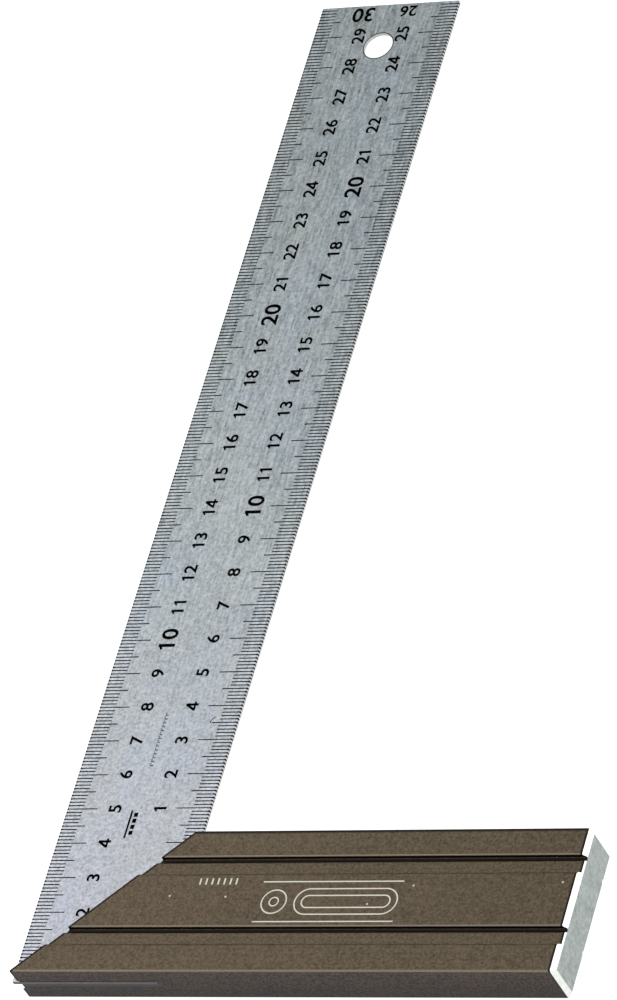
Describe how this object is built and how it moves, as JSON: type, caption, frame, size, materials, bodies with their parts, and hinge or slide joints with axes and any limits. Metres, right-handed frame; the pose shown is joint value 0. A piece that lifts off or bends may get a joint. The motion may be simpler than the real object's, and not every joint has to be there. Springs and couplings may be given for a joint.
{
  "type": "try square",
  "caption": "Joiner's try square with a 300 mm steel rule bonded into a mitred, grooved aluminium stock.",
  "frame": {"origin": "outer working corner, where the blade's outer edge meets the stock's outer face, at the height of the stock's back face", "axes": "+X along the stock towards its cut end, +Y along the blade towards the hanging hole, +Z out of the front face"},
  "size_m": [0.148, 0.3, 0.012],
  "materials": {
    "anodised_aluminium": "satin bronze anodised",
    "rule_steel": "fine brushed, satin",
    "adhesive": "cured epoxy"
  },
  "bodies": {
    "root": {"stock": "anodised_aluminium", "blade": "rule_steel", "bond": "adhesive"}
  },
  "joints": []
}
